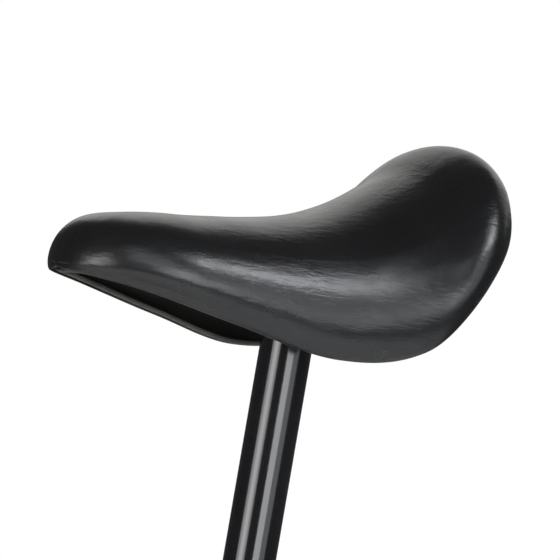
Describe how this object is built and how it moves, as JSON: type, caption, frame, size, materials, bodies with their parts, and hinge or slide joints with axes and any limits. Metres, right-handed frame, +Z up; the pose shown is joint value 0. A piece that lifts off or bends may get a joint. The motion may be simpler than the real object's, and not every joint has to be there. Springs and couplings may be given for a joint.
{
  "type": "unicycle",
  "caption": "Pedalled single-wheel cycle: curved padded saddle on a round seatpost, flat-crown fork, spoked wheel with direct cranks and platform pedals.",
  "frame": {"origin": "on the ground straight under the middle of the axle, which is the bottom centre of the bounding box along Z", "axes": "+X forward, towards the saddle's nose; +Y the rider's left, along the axle; +Z up, along the seatpost"},
  "size_m": [0.506, 0.303, 0.9217],
  "materials": {
    "saddle_vinyl": "soft black vinyl with a satin sheen",
    "saddle_foam": "matte open foam",
    "saddle_plastic": "matte moulded",
    "post_paint": "gloss black",
    "frame_paint": "gloss black",
    "clamp_alloy": "black anodised satin",
    "clamp_plastic": "matte",
    "fastener_steel": "zinc-plated satin",
    "bearing_steel": "ground",
    "ball_chrome": "polished",
    "shield_rubber": "matte",
    "tyre_rubber": "matte",
    "tube_rubber": "matte",
    "valve_brass": "threaded satin",
    "cap_plastic": "matte",
    "rim_alloy": "brushed silver",
    "tape_cloth": "woven",
    "spoke_steel": "drawn stainless",
    "nipple_brass": "nickel-plated",
    "hub_steel": "chrome",
    "axle_steel": "turned",
    "crank_alloy": "satin silver",
    "pedal_plastic": "matte moulded",
    "reflector_plastic": "prismatic amber"
  },
  "bodies": {
    "frame": {"seat_tube": "frame_paint", "fork_crown": "frame_paint", "left_fork_leg": "frame_paint", "right_fork_leg": "frame_paint", "left_bearing_seat": "frame_paint", "right_bearing_seat": "frame_paint", "left_bearing_cap": "frame_paint", "right_bearing_cap": "frame_paint", "bearing_cap_bolts": "fastener_steel", "bearing_cap_nuts": "fastener_steel", "left_bearing_outer_race": "bearing_steel", "right_bearing_outer_race": "bearing_steel", "left_bearing_shields": "shield_rubber", "right_bearing_shields": "shield_rubber", "clamp_collar": "clamp_alloy", "clamp_skewer": "fastener_steel", "clamp_washer": "clamp_plastic", "clamp_pivot_pin": "fastener_steel", "clamp_nut": "clamp_alloy"},
    "lever": {"clamp_lever": "clamp_alloy"},
    "seatpost": {"seatpost_tube": "post_paint", "seatpost_head_plate": "post_paint", "seatpost_gussets": "post_paint", "saddle_cover": "saddle_vinyl", "saddle_foam": "saddle_foam", "saddle_base": "saddle_plastic", "saddle_bolts": "fastener_steel", "saddle_washers": "fastener_steel", "saddle_nuts": "fastener_steel"},
    "wheel": {"tyre": "tyre_rubber", "inner_tube": "tube_rubber", "valve_stem": "valve_brass", "valve_cap": "cap_plastic", "rim": "rim_alloy", "rim_tape": "tape_cloth", "spokes": "spoke_steel", "spoke_nipples": "nipple_brass", "hub_shell": "hub_steel", "axle": "axle_steel", "left_bearing_inner_race": "bearing_steel", "right_bearing_inner_race": "bearing_steel", "left_crank": "crank_alloy", "right_crank": "crank_alloy", "crank_bolts": "fastener_steel", "left_pedal_spindle": "axle_steel", "right_pedal_spindle": "axle_steel"},
    "left_wheel_balls": {"left_bearing_balls": "ball_chrome"},
    "right_wheel_balls": {"right_bearing_balls": "ball_chrome"},
    "left_pedal": {"left_pedal_body": "pedal_plastic", "left_pedal_dust_cap": "cap_plastic", "left_pedal_reflectors": "reflector_plastic"},
    "right_pedal": {"right_pedal_body": "pedal_plastic", "right_pedal_dust_cap": "cap_plastic", "right_pedal_reflectors": "reflector_plastic"},
    "left_pedal_cages": {"left_pedal_balls": "ball_chrome"},
    "right_pedal_cages": {"right_pedal_balls": "ball_chrome"}
  },
  "joints": [
    {"name": "wheel_spin", "type": "hinge", "parent": "frame", "child": "wheel", "pos_m": [0, 0, 0.253], "axis": [0, 1, 0], "continuous": true},
    {"name": "seatpost_slide", "type": "slide", "parent": "frame", "child": "seatpost", "axis": [0, 0, 1], "range_m": [-0.04, 0.04]},
    {"name": "clamp_lever_hinge", "type": "hinge", "parent": "frame", "child": "lever", "pos_m": [-0.027, 0.0205, 0.666], "axis": [0, 0, 1], "range_deg": [0, 150]},
    {"name": "left_pedal_spin", "type": "hinge", "parent": "wheel", "child": "left_pedal", "pos_m": [0.125, 0.12, 0.253], "axis": [0, 1, 0], "continuous": true},
    {"name": "right_pedal_spin", "type": "hinge", "parent": "wheel", "child": "right_pedal", "pos_m": [-0.125, -0.12, 0.253], "axis": [0, 1, 0], "continuous": true},
    {"name": "left_wheel_cage_spin", "type": "hinge", "parent": "frame", "child": "left_wheel_balls", "pos_m": [0, 0.05, 0.253], "axis": [0, 1, 0], "continuous": true},
    {"name": "right_wheel_cage_spin", "type": "hinge", "parent": "frame", "child": "right_wheel_balls", "pos_m": [0, -0.05, 0.253], "axis": [0, 1, 0], "continuous": true},
    {"name": "left_pedal_cage_spin", "type": "hinge", "parent": "wheel", "child": "left_pedal_cages", "pos_m": [0.125, 0.12, 0.253], "axis": [0, 1, 0], "continuous": true},
    {"name": "right_pedal_cage_spin", "type": "hinge", "parent": "wheel", "child": "right_pedal_cages", "pos_m": [-0.125, -0.12, 0.253], "axis": [0, 1, 0], "continuous": true}
  ],
  "couplings": [
    {"joint": "left_wheel_cage_spin", "follows": "wheel_spin", "ratio": 0.3818},
    {"joint": "right_wheel_cage_spin", "follows": "wheel_spin", "ratio": 0.3818},
    {"joint": "left_pedal_cage_spin", "follows": "left_pedal_spin", "ratio": 0.604},
    {"joint": "right_pedal_cage_spin", "follows": "right_pedal_spin", "ratio": 0.604}
  ]
}
